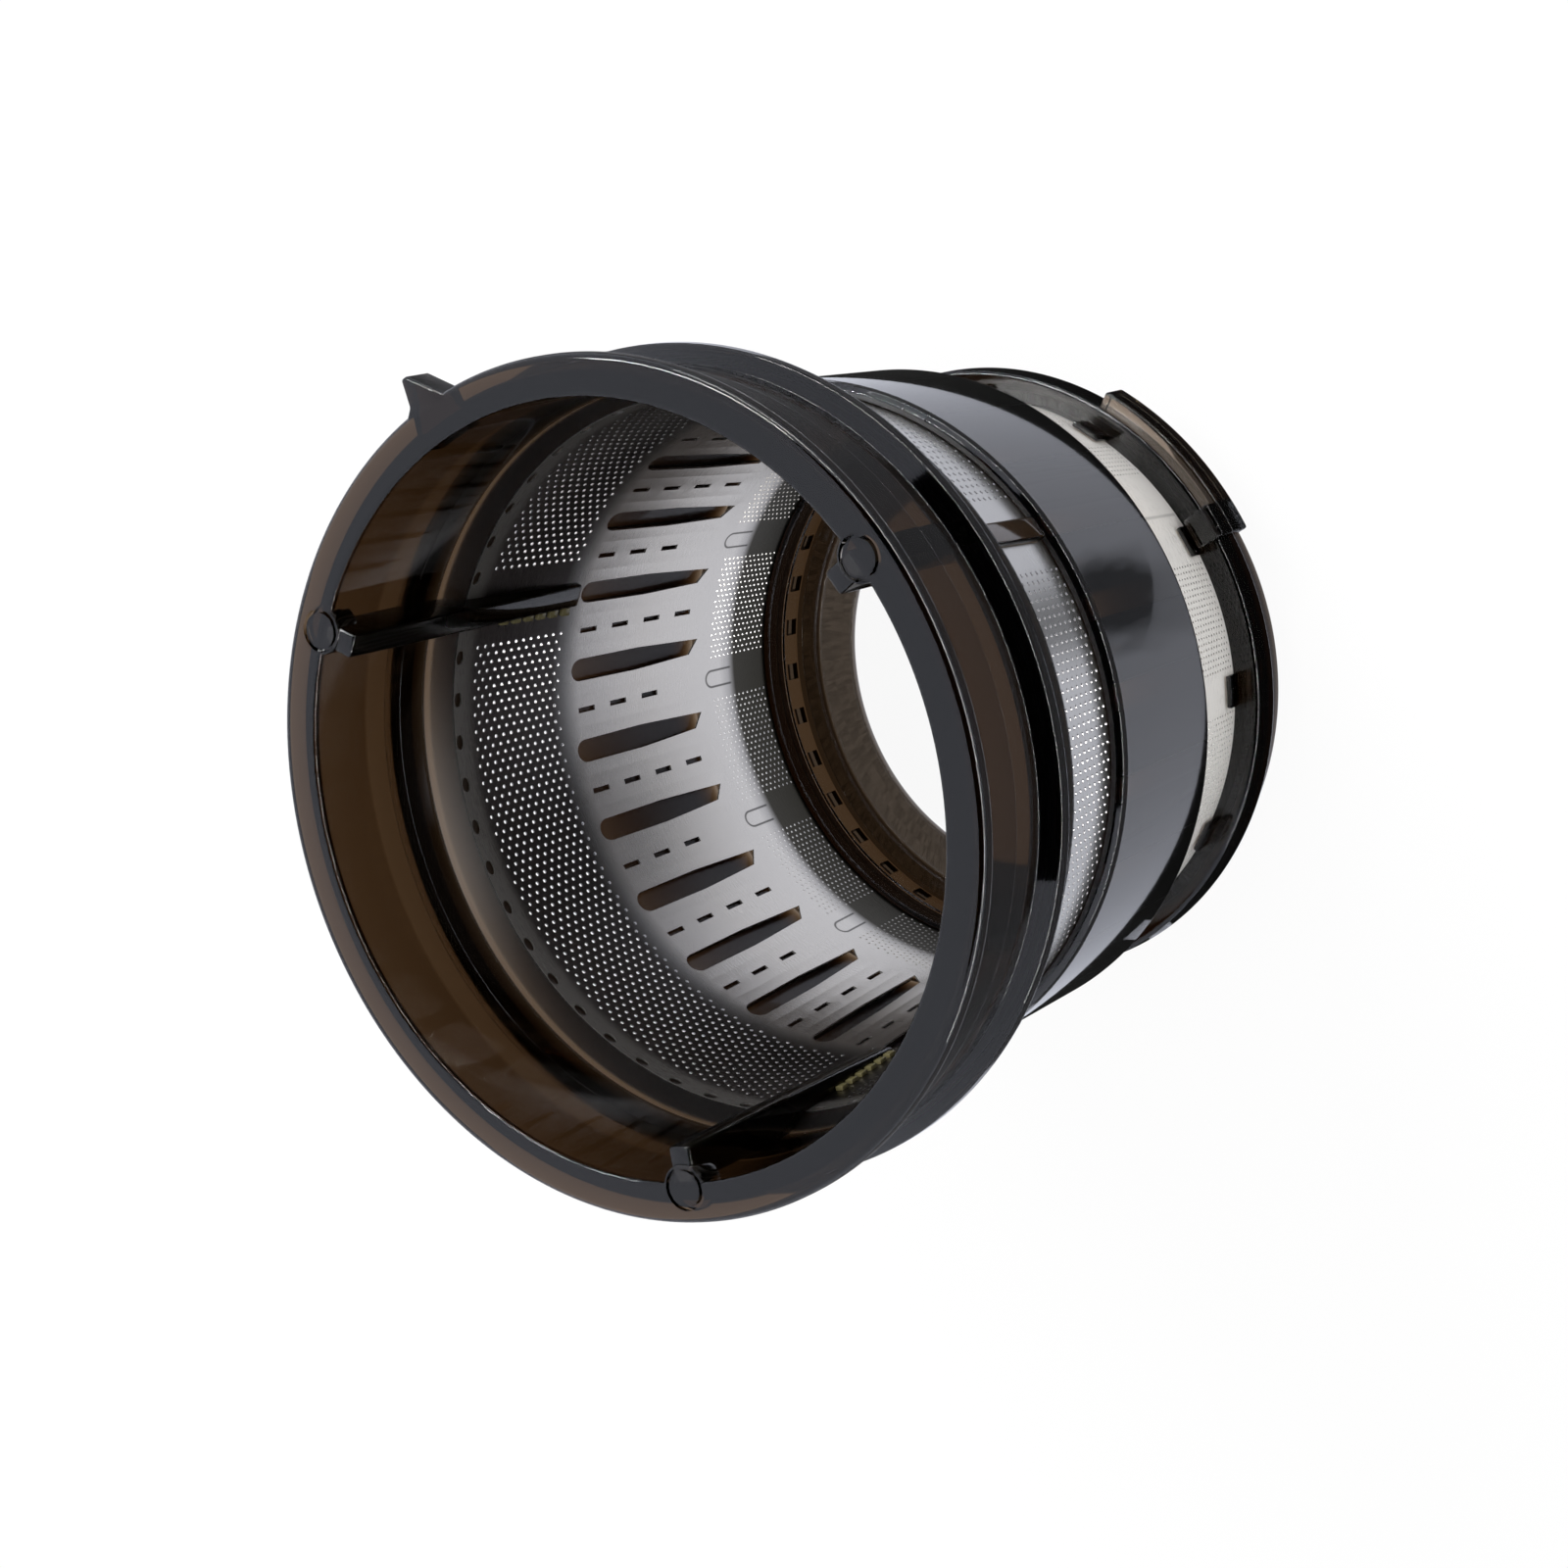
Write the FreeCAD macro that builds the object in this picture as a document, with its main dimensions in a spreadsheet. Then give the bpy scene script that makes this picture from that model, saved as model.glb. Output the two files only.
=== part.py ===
import FreeCAD, Part
import os
import re
import Sketcher

# Juicer mesh screen: a perforated steel cone moulded into a rim frame above and a base ring below.
# Millimetres. +Z runs up the axis to the mouth, the narrow end stands on z = 0.
# The X axis runs through one of the three ribs. Depths are below the rim face, heights above z = 0.

SIZES = [
    ("SleeveTopRadius", 48.4, "steel, inner radius at its top edge"),
    ("SleeveDrop", 7.95, "how much smaller the steel is at its lower edge"),
    ("SleeveSheet", 0.5, "steel thickness"),
    ("SleeveFit", 0.02, "clearance of the mouldings on the steel"),
    ("BoreSet", 2.35, "mouth and neck outside the steel's inner face"),
    ("NeckWall", 2.95, "wall of the neck"),
    ("LipOverhang", 2.8, "rim lip outside the neck"),
    ("LipDepth", 2.4, "depth of the rim lip"),
    ("LipSlope", 0.4, "slope under the lip"),
    ("NeckTall", 14.2, "straight height of the neck"),
    ("FlangeRamp", 2.1, "height of the slope from neck to flange"),
    ("FlangeThickness", 2.0, "height of the flange wall"),
    ("FlangeOverhang", 2.0, "flange outside the neck"),
    ("LedgeDrop", 0.4, "from the flange's underside to where the inner wall turns in"),
    ("LedgeSlope", 4.3, "height of the inner slope down to the steel"),
    ("SocketWall", 2.5, "plastic outside the steel's top edge"),
    ("SocketHold", 3.2, "how far that plastic goes down over the steel"),
    ("UpperWindow", 17.0, "height of the upper window"),
    ("BandWall", 1.675, "middle band, wall outside the steel at its top"),
    ("BandEdgeWall", 3.4, "wall at the band's lower edge"),
    ("BandTall", 24.6, "band height from top to lower edge"),
    ("BandUnder", 5.7, "height of the band's sloped underside"),
    ("LowerWindow", 12.02, "height of the lower window"),
    ("RibCount", 3, "ribs and posts"),
    ("RibWidth", 3.4, "rib and post width"),
    ("RibReach", 2.2, "crest of the ribs inside the steel's top edge"),
    ("PostReach", 0.6, "posts outside the steel's top edge"),
    ("BossSet", 1.05, "boss centres outside the mouth's wall"),
    ("BossRadius", 3.3, "boss radius"),
    ("BossDepth", 4.0, "boss depth below the rim face"),
    ("FinLength", 4.4, "fin tip outside the rim"),
    ("FinDepth", 4.6, "fin depth below the rim face"),
    ("FinAngle", 81.0, "azimuth of the fin's tip"),
    ("FinSteep", 1.6, "fin root on the steep side, across the radius"),
    ("FinSlope", 4.9, "fin root on the sloping side, across the radius"),
    ("FinTip", 0.5, "half width of the fin's tip"),
    ("SlotCount", 24, "tall slots round the steel"),
    ("SlotDrop", 2.3, "slot top below the band's top face"),
    ("SlotRise", 2.4, "slot foot above the band's foot"),
    ("SlotWidth", 2.9, "slot width at its top"),
    ("DashDrop", 1.2, "first dash below the slot's top"),
    ("DashLength", 3.2, "dash length"),
    ("DashWidth", 0.8, "dash width"),
    ("DashPitch", 6.4, "dash pitch down the cone"),
    ("FloorWidth", 8.2, "floor round the outlet"),
    ("FloorThickness", 1.2, "floor at the narrow end"),
    ("FootSet", 0.85, "inner wall of the base inside the steel"),
    ("FootWall", 2.1, "wall of the foot"),
    ("BaseOverhang", 2.7, "base flange outside the foot"),
    ("BaseFlangeFoot", 6.4, "height of the base flange's underside"),
    ("BaseFlangeThickness", 4.78, "base flange"),
    ("TabCount", 12, "tabs on the steel"),
    ("TabAngle", 22.5, "azimuth of the first tab"),
    ("TabSweep", 6.2, "tab angle"),
    ("TabTall", 3.52, "tabs above the base flange"),
    ("TabRoot", 0.6, "how far the tabs go down into the flange"),
    ("TabThickness", 0.8, "tab thickness"),
    ("LugReach", 2.4, "bayonet lug outside the base flange"),
    ("LugAngle", 7.3, "azimuth of the lug's middle"),
    ("LugSweep", 34.0, "lug angle"),
    ("StopSweep", 6.0, "angle of the thick stop at the lug's end"),
    ("StopRise", 2.22, "stop above the base flange"),
    ("LugDrop", 0.5, "top of the lug below the base flange's top"),
    ("RootDepth", 0.7, "how far the fin and the posts' feet go into the moulding"),
]

# Sizes that follow from the ones above. Depths are summed down from the rim face.
FOLLOWING = [
    ("RimBore", "SleeveTopRadius + BoreSet"),
    ("NeckRadius", "RimBore + NeckWall"),
    ("RimRadius", "NeckRadius + LipOverhang"),
    ("FlangeRadius", "NeckRadius + FlangeOverhang"),
    ("SocketRadius", "SleeveTopRadius + SleeveSheet + SocketWall"),
    ("RibCrest", "SleeveTopRadius - RibReach"),
    ("PostRadius", "SleeveTopRadius + SleeveSheet + PostReach"),
    ("BossCentre", "RimBore + BossSet"),
    ("FinReach", "RimRadius + FinLength"),
    ("RampDepth", "LipDepth + LipSlope + NeckTall"),
    ("FlangeDepth", "RampDepth + FlangeRamp"),
    ("LedgeDepth", "FlangeDepth + FlangeThickness + LedgeDrop"),
    ("SleeveDepth", "LedgeDepth + LedgeSlope"),
    ("WindowDepth", "SleeveDepth + SocketHold"),
    ("BandDepth", "WindowDepth + UpperWindow"),
    ("BandEdgeDepth", "BandDepth + BandTall"),
    ("BandFootDepth", "BandEdgeDepth + BandUnder"),
    ("SlotDepth", "BandDepth + SlotDrop"),
    ("SlotLength", "BandFootDepth - SlotRise - SlotDepth"),
    ("DashDepth", "SlotDepth + DashDrop"),
    ("BaseFlangeTop", "BaseFlangeFoot + BaseFlangeThickness"),
    ("SleeveFoot", "BaseFlangeTop + SleeveFit"),
    ("Height", "BaseFlangeTop + LowerWindow + BandFootDepth"),
    ("Taper", "SleeveDrop / (Height - SleeveDepth - SleeveFoot)"),
    ("BandRadius", "SleeveTopRadius - (BandDepth - SleeveDepth) * Taper + SleeveSheet + BandWall"),
    ("BandEdgeRadius", "SleeveTopRadius - (BandEdgeDepth - SleeveDepth) * Taper + SleeveSheet + BandEdgeWall"),
    ("SleeveFootRadius", "SleeveTopRadius - SleeveDrop"),
    ("FootBore", "SleeveFootRadius - FootSet"),
    ("FootRadius", "FootBore + FootWall"),
    ("OutletRadius", "FootBore - FloorWidth"),
    ("BaseFlangeRadius", "FootRadius + BaseOverhang"),
    ("LugRadius", "BaseFlangeRadius + LugReach"),
    ("TabTop", "BaseFlangeTop + TabTall"),
    ("StopTop", "BaseFlangeTop + StopRise"),
]

doc = FreeCAD.newDocument("MeshScreen")
sheet = doc.addObject("Spreadsheet::Sheet", "Sizes")
for row, (alias, value, note) in enumerate(SIZES, 1):
    sheet.set("A%d" % row, note)
    sheet.set("B%d" % row, str(value))
    sheet.setAlias("B%d" % row, alias)
for row, (alias, rule) in enumerate(FOLLOWING, len(SIZES) + 1):
    sheet.set("A%d" % row, "follows from other sizes")
    sheet.set("B%d" % row, "=" + rule)
    sheet.setAlias("B%d" % row, alias)
doc.recompute()
ALIASES = {entry[0] for entry in SIZES + FOLLOWING}


def cell(text):
    # Plain size names become references to the sheet.
    return re.sub(r"[A-Za-z]\w*", lambda m: "Sizes." + m.group() if m.group() in ALIASES else m.group(), str(text))


def number(text):
    return float(sheet.evalExpression(cell(text)))


def bind(target, prop, text):
    target.setExpression(prop, cell(text))


def deep(depth):
    # Height of a depth below the rim face.
    return "(Height - (%s))" % depth


SLEEVE_TOP = deep("SleeveDepth")


def steel_inside(height):
    return "(SleeveFootRadius + (%s - SleeveFoot) * Taper)" % height


def steel_outside(height):
    return "(%s + SleeveSheet)" % steel_inside(height)


def new_body(label):
    body = doc.addObject("PartDesign::Body", "Body_" + label)
    body.Label = label
    body.Placement = FreeCAD.Placement()
    return body


def origin_part(body, role):
    return next(f for f in body.Origin.OriginFeatures if f.Role == role)


def new_sketch(body, name, role, azimuth=None):
    sketch = body.newObject("Sketcher::SketchObject", name)
    sketch.AttachmentSupport = (origin_part(body, role), [""])
    sketch.MapMode = "FlatFace"
    if azimuth is not None:
        # Local y is the cone's axis in both upright planes.
        turn = FreeCAD.Rotation(FreeCAD.Vector(0, 1, 0), number(azimuth))
        sketch.AttachmentOffset = FreeCAD.Placement(FreeCAD.Vector(), turn)
        bind(sketch, "AttachmentOffset.Rotation.Angle", azimuth)
    return sketch


def pin(sketch, geometry, end, x, y):
    # Holds one point at two distances from the origin, each bound to the sheet.
    for kind, text, axis in (("DistanceX", x, -2), ("DistanceY", y, -1)):
        value = number(text)
        if abs(value) < 1e-9:
            sketch.addConstraint(Sketcher.Constraint("PointOnObject", geometry, end, axis))
            continue
        if value > 0:
            index = sketch.addConstraint(Sketcher.Constraint(kind, -1, 1, geometry, end, value))
            bind(sketch, "Constraints[%d]" % index, text)
        else:
            index = sketch.addConstraint(Sketcher.Constraint(kind, geometry, end, -1, 1, -value))
            bind(sketch, "Constraints[%d]" % index, "-(%s)" % text)


def outline(sketch, corners):
    # A closed outline of straight lines through corners given as size texts.
    points = [FreeCAD.Vector(number(x), number(y), 0) for x, y in corners]
    first = sketch.GeometryCount
    count = len(points)
    for i in range(count):
        sketch.addGeometry(Part.LineSegment(points[i], points[(i + 1) % count]))
    for i in range(count):
        sketch.addConstraint(Sketcher.Constraint("Coincident", first + i, 2, first + (i + 1) % count, 1))
    for i, (x, y) in enumerate(corners):
        pin(sketch, first + i, 1, x, y)


def turned(body, kind, name, sketch, sweep=None):
    # A Revolution or Groove about the cone's axis, whole or as a sector centred on its sketch.
    feature = body.newObject("PartDesign::" + kind, name)
    feature.Profile = sketch
    feature.ReferenceAxis = (sketch, ["V_Axis"])
    if sweep is None:
        feature.Angle = 360
    else:
        feature.Midplane = True
        feature.Angle = number(sweep)
        bind(feature, "Angle", sweep)
    sketch.Visibility = False
    doc.recompute()
    return feature


def around(body, name, originals, count):
    pattern = body.newObject("PartDesign::PolarPattern", name)
    pattern.Originals = originals
    pattern.Axis = (origin_part(body, "Z_Axis"), [""])
    pattern.Angle = 360
    pattern.Occurrences = int(number(count))
    bind(pattern, "Occurrences", count)
    body.Tip = pattern
    doc.recompute()
    return pattern


def many_sided(sketch, radius, sides):
    # A round outline of flats about the boss centre.
    corners = []
    for i in range(sides):
        turn = 360.0 * (i + 0.5) / sides
        corners.append(("BossCentre + %s * cos(%.1f)" % (radius, turn), "%s * sin(%.1f)" % (radius, turn)))
    outline(sketch, corners)


def sleeve_space(body, name):
    # Cuts the room that the steel takes up in a moulding.
    sketch = new_sketch(body, name + "Outline", "XZ_Plane")
    top = "(%s + SleeveFit)" % SLEEVE_TOP
    foot = "(SleeveFoot - SleeveFit)"
    outline(sketch, [
        (steel_inside(foot) + " - SleeveFit", foot),
        (steel_outside(foot) + " + SleeveFit", foot),
        (steel_outside(top) + " + SleeveFit", top),
        (steel_inside(top) + " - SleeveFit", top),
    ])
    return turned(body, "Groove", name, sketch)


# Rim frame: rim, neck, flange and the socket for the steel.
frame = new_body("rim_frame")
crown = new_sketch(frame, "CrownOutline", "XZ_Plane")
outline(crown, [
    ("RimBore", "Height"),
    ("RimRadius", "Height"),
    ("RimRadius", deep("LipDepth")),
    ("NeckRadius", deep("LipDepth + LipSlope")),
    ("NeckRadius", deep("RampDepth")),
    ("FlangeRadius", deep("FlangeDepth")),
    ("FlangeRadius", deep("FlangeDepth + FlangeThickness")),
    ("SocketRadius", deep("FlangeDepth + FlangeThickness")),
    ("SocketRadius", deep("WindowDepth")),
    (steel_inside(deep("WindowDepth")), deep("WindowDepth")),
    ("SleeveTopRadius", SLEEVE_TOP),
    ("RimBore", deep("LedgeDepth")),
])
crown_ring = turned(frame, "Revolution", "Crown", crown)

# One plate makes an inner rib and an outer post. The steel's room parts the two later.
plate = new_sketch(frame, "RibOutline", "XZ_Plane")
rib_foot = "(SleeveFoot + (RibCrest - SleeveFootRadius) / Taper)"
outline(plate, [
    ("RibCrest", "Height"),
    ("(RimBore + NeckRadius) / 2", "Height"),
    ("(RimBore + NeckRadius) / 2", deep("RampDepth")),
    ("PostRadius", deep("WindowDepth - LipDepth")),
    ("BandRadius - RootDepth", deep("BandDepth")),
    ("BandRadius - RootDepth * 1.5", deep("BandDepth + RootDepth * 2")),
    ("RibCrest", rib_foot),
])
rib = frame.newObject("PartDesign::Pad", "Rib")
rib.Profile = plate
rib.SideType = "Symmetric"
rib.Length = number("RibWidth")
bind(rib, "Length", "RibWidth")
plate.Visibility = False
doc.recompute()
ribs = around(frame, "Ribs", [rib], "RibCount")

# The middle band hangs on the posts.
band = new_sketch(frame, "BandOutline", "XZ_Plane")
outline(band, [
    (steel_inside(deep("BandDepth")) + " + SleeveSheet / 2", deep("BandDepth")),
    ("BandRadius", deep("BandDepth")),
    ("BandEdgeRadius", deep("BandEdgeDepth")),
    (steel_inside(deep("BandFootDepth")) + " + SleeveSheet / 2", deep("BandFootDepth")),
])
band_ring = turned(frame, "Revolution", "Band", band)

boss_sketch = new_sketch(frame, "BossOutline", "XY_Plane")
boss_sketch.AttachmentOffset = FreeCAD.Placement(FreeCAD.Vector(0, 0, number("Height")), FreeCAD.Rotation())
bind(boss_sketch, "AttachmentOffset.Base.z", "Height")
many_sided(boss_sketch, "BossRadius", 16)
boss = frame.newObject("PartDesign::Pad", "Boss")
boss.Profile = boss_sketch
boss.Reversed = True
boss.Length = number("BossDepth")
bind(boss, "Length", "BossDepth")
boss_sketch.Visibility = False
doc.recompute()
bosses = around(frame, "Bosses", [boss], "RibCount")

fin_sketch = new_sketch(frame, "FinOutline", "XY_Plane")
fin_sketch.AttachmentOffset = FreeCAD.Placement(FreeCAD.Vector(0, 0, number("Height")),
                                                FreeCAD.Rotation(FreeCAD.Vector(0, 0, 1), number("FinAngle")))
bind(fin_sketch, "AttachmentOffset.Base.z", "Height")
bind(fin_sketch, "AttachmentOffset.Rotation.Angle", "FinAngle")
outline(fin_sketch, [
    ("NeckRadius - RootDepth", "FinSteep"),
    ("NeckRadius - RootDepth", "-FinSlope"),
    ("RimRadius - RootDepth", "-FinSlope"),
    ("FinReach", "-FinTip"),
    ("FinReach", "FinTip"),
    ("RimRadius - RootDepth", "FinSteep"),
])
fin = frame.newObject("PartDesign::Pad", "Fin")
fin.Profile = fin_sketch
fin.Reversed = True
fin.Length = number("FinDepth")
bind(fin, "Length", "FinDepth")
fin_sketch.Visibility = False
doc.recompute()

# The room for the steel parts each rib from its post.
room = sleeve_space(frame, "SleeveRoom")

# Mesh sleeve: the steel cone, its slots and the dashes between them.
sleeve = new_body("mesh_sleeve")
wall = new_sketch(sleeve, "WallOutline", "XZ_Plane")
outline(wall, [
    ("SleeveFootRadius", "SleeveFoot"),
    ("SleeveFootRadius + SleeveSheet", "SleeveFoot"),
    ("SleeveTopRadius + SleeveSheet", SLEEVE_TOP),
    ("SleeveTopRadius", SLEEVE_TOP),
])
cone = turned(sleeve, "Revolution", "Cone", wall)


def gap(sketch, top, foot):
    # The room of one gap across the steel. Its sides follow the cone, so it narrows towards the foot.
    outline(sketch, [
        (steel_inside(foot) + " - SleeveSheet", foot),
        (steel_outside(foot) + " + SleeveSheet", foot),
        (steel_outside(top) + " + SleeveSheet", top),
        (steel_inside(top) + " - SleeveSheet", top),
    ])


def sweep_at(width, height):
    # Angle that a width takes up on the steel's inner face.
    return "%s / %s * 180 / pi" % (width, steel_inside(height))


slot_sketch = new_sketch(sleeve, "SlotOutline", "XZ_Plane")
gap(slot_sketch, deep("SlotDepth"), deep("SlotDepth + SlotLength"))
slot_cut = turned(sleeve, "Groove", "Slot", slot_sketch, sweep_at("SlotWidth", deep("SlotDepth")))
slots = around(sleeve, "Slots", [slot_cut], "SlotCount")

dash_sweep = sweep_at("DashWidth", deep("DashDepth"))
dash_tops = ["DashDepth + DashPitch * %d" % place for place in range(4)]
dash_sketch = new_sketch(sleeve, "DashOutline", "XZ_Plane", "180 / SlotCount")
for top in dash_tops[:3]:
    gap(dash_sketch, deep(top), deep(top + " + DashLength"))
dash_cut = turned(sleeve, "Groove", "Dash", dash_sketch, dash_sweep)
dashes = around(sleeve, "Dashes", [dash_cut], "SlotCount")
# Every other column has one dash more at its foot.
last_sketch = new_sketch(sleeve, "LastDashOutline", "XZ_Plane", "180 / SlotCount")
gap(last_sketch, deep(dash_tops[3]), deep(dash_tops[3] + " + DashLength"))
last_cut = turned(sleeve, "Groove", "LastDash", last_sketch, dash_sweep)
last_dashes = around(sleeve, "LastDashes", [last_cut], "SlotCount / 2")

# Base ring: foot, floor with the outlet, flange and the lip over the steel's lower edge.
base = new_body("base_ring")
foot_sketch = new_sketch(base, "FootOutline", "XZ_Plane")
outline(foot_sketch, [
    ("OutletRadius", "0"),
    ("FootRadius", "0"),
    ("FootRadius", "BaseFlangeFoot"),
    ("BaseFlangeRadius", "BaseFlangeFoot"),
    ("BaseFlangeRadius", "BaseFlangeTop"),
    ("FootBore", "BaseFlangeTop"),
    ("FootBore", "FloorThickness"),
    ("OutletRadius", "FloorThickness"),
])
foot_ring = turned(base, "Revolution", "Foot", foot_sketch)

lug_sketch = new_sketch(base, "LugOutline", "XZ_Plane", "LugAngle")
outline(lug_sketch, [
    ("FootRadius", "BaseFlangeFoot"),
    ("LugRadius", "BaseFlangeFoot"),
    ("LugRadius", "BaseFlangeTop - LugDrop"),
    ("FootRadius", "BaseFlangeTop - LugDrop"),
])
lug = turned(base, "Revolution", "Lug", lug_sketch, "LugSweep")
stop_sketch = new_sketch(base, "StopOutline", "XZ_Plane", "LugAngle - LugSweep / 2 + StopSweep / 2")
outline(stop_sketch, [
    ("FootRadius + LugDrop", "BaseFlangeFoot"),
    ("LugRadius", "BaseFlangeFoot"),
    ("LugRadius", "StopTop"),
    ("FootRadius + LugDrop", "StopTop"),
])
stop = turned(base, "Revolution", "Stop", stop_sketch, "StopSweep")

tab_sketch = new_sketch(base, "TabOutline", "XZ_Plane", "TabAngle")
tab_foot = "(BaseFlangeTop - TabRoot)"
outline(tab_sketch, [
    (steel_outside(tab_foot) + " + SleeveFit", tab_foot),
    (steel_outside(tab_foot) + " + TabThickness", tab_foot),
    (steel_outside("TabTop") + " + TabThickness", "TabTop"),
    (steel_outside("TabTop") + " + SleeveFit", "TabTop"),
])
tab = turned(base, "Revolution", "Tab", tab_sketch, "TabSweep")
tabs = around(base, "Tabs", [tab], "TabCount")

doc.recompute()
for item in doc.Objects:
    if "Invalid" in item.State or "Error" in item.State:
        raise RuntimeError("%s did not compute" % item.Name)
os.makedirs("parts", exist_ok=True)
for body in (frame, sleeve, base):
    shape = body.Shape
    if shape.isNull() or not shape.isValid() or len(shape.Solids) != 1:
        raise RuntimeError("%s is not one sound solid" % body.Label)
    shape.exportStep("parts/%s.step" % body.Label)
    box = shape.BoundBox
    print(body.Label, "volume %.0f" % shape.Volume, "z %.2f to %.2f" % (box.ZMin, box.ZMax),
          "faces", len(shape.Faces))
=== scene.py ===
import math
import bmesh
import bpy
import numpy as np
from mathutils import Euler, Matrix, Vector


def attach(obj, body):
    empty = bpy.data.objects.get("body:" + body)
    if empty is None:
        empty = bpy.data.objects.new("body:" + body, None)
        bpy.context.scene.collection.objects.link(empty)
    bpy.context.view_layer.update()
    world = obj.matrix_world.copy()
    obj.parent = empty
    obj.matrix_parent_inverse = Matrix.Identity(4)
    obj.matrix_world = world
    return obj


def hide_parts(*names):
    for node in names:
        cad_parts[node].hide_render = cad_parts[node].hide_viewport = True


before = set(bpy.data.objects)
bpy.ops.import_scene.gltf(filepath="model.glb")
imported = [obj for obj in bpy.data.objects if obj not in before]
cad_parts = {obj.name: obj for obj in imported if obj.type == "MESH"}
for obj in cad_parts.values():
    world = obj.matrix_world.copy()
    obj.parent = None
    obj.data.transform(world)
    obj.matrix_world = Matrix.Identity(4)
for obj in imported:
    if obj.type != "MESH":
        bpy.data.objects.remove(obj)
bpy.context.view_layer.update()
mm = 0.001
height = 99.5
tau = 2 * math.pi
scene = bpy.context.scene
scene.view_settings.view_transform = "Standard"


# The steel cone in depth below the rim face: radius falls in a straight line from its top edge.
cone = {"topRadius": 48.4, "footRadius": 40.45, "top": 25.8, "foot": 88.3,
        "sheet": 0.5, "fit": 0.02, "shown": 0.26, "roomFoot": 89.0}
coneFall = (cone["topRadius"] - cone["footRadius"]) / (cone["foot"] - cone["top"])


def coneInside(depth):
    # Inner radius at a depth: the top radius less the fall for each millimetre down.
    return cone["topRadius"] - (np.asarray(depth, float) - cone["top"]) * coneFall


# Angles in degrees from which an edge is shaded sharp, or is rounded.
edgeAngle = {"sharp": 32, "rounded": 35}


def newPiece(name, points, faces):
    # Points in millimetres become a mesh in metres.
    mesh = bpy.data.meshes.new(name)
    mesh.from_pydata((np.asarray(points, float) * mm).tolist(), [], [list(map(int, f)) for f in faces])
    mesh.update()
    piece = bpy.data.objects.new(name, mesh)
    scene.collection.objects.link(piece)
    return piece


def gridFaces(rows, columns, closeRows, closeColumns):
    # Quads between neighbours of a rows by columns grid, wrapped where it closes.
    i = np.arange(rows if closeRows else rows - 1)
    j = np.arange(columns if closeColumns else columns - 1)
    a, b = np.meshgrid(i, j, indexing="ij")
    an = (a + 1) % rows
    bn = (b + 1) % columns
    corners = [a * columns + b, an * columns + b, an * columns + bn, a * columns + bn]
    return np.stack(corners, -1).reshape(-1, 4)


def softProfile(corners, steps=4):
    # Corners are (radius, depth, round). Each round is an arc between the tangent points on both sides.
    data = np.asarray(corners, float)
    p = data[:, :2]
    back = np.roll(p, 1, 0) - p
    ahead = np.roll(p, -1, 0) - p
    back /= np.linalg.norm(back, axis=1)[:, None]
    ahead /= np.linalg.norm(ahead, axis=1)[:, None]
    angle = np.arccos(np.clip((back * ahead).sum(1), -0.99999, 0.99999))
    size = np.maximum(data[:, 2], 0.01)
    reach = size / np.tan(angle / 2)
    middle = (back + ahead) / np.linalg.norm(back + ahead, axis=1)[:, None]
    centre = p + middle * (size / np.sin(angle / 2))[:, None]
    start = p + back * reach[:, None] - centre
    end = p + ahead * reach[:, None] - centre
    turn = (math.pi - angle)[:, None, None]
    w = np.linspace(0, 1, steps)[None, :, None]
    arc = (np.sin((1 - w) * turn) * start[:, None] + np.sin(w * turn) * end[:, None]) / np.sin(turn)
    return (centre[:, None] + arc).reshape(-1, 2)


def fineProfile(profile, longest=2.2, hold=0.12):
    # A long stretch gets a point close to each end, which keeps its shading flat, and more between them.
    parts = []
    for a, b in zip(profile, np.roll(profile, -1, 0)):
        length = np.linalg.norm(b - a)
        share = np.zeros(1)
        if length > 5 * hold:
            inner = np.linspace(hold, length - hold, int(np.ceil(length / longest)) + 1)
            share = np.append(share, inner / length)
        parts.append(a + (b - a) * share[:, None])
    return np.concatenate(parts)


def carried(profile, angle):
    # The profile (radius, depth) at each angle about the axis: x = r cos, y = r sin, z = height - depth.
    r = profile[None, :, 0]
    z = np.broadcast_to(height - profile[None, :, 1], (len(angle), len(profile)))
    return np.stack([r * np.cos(angle)[:, None], r * np.sin(angle)[:, None], z], -1).reshape(-1, 3)


def turnedRing(name, profile, segments=288):
    # The profile goes once round the axis.
    points = carried(profile, np.arange(segments) * tau / segments)
    return tidyNormals(newPiece(name, points, gridFaces(segments, len(profile), True, True)))


def roundedRing(name, corners):
    # A ring from corners with rounds.
    return turnedRing(name, fineProfile(softProfile(corners)))


def turnedSectors(name, profile, middles, sweep, steps=5):
    # The same profile carried over short arcs, each closed by two end faces.
    profile = np.asarray(profile, float)
    count = len(profile)
    points = []
    faces = []
    for middle in middles:
        first = sum(len(p) for p in points)
        angle = np.radians(middle + np.linspace(-0.5, 0.5, steps) * sweep)
        points.append(carried(profile, angle))
        faces += (gridFaces(steps, count, False, True) + first).tolist()
        faces.append([first + k for k in range(count)][::-1])
        faces.append([first + (steps - 1) * count + k for k in range(count)])
    return tidyNormals(newPiece(name, np.concatenate(points), faces))


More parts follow.
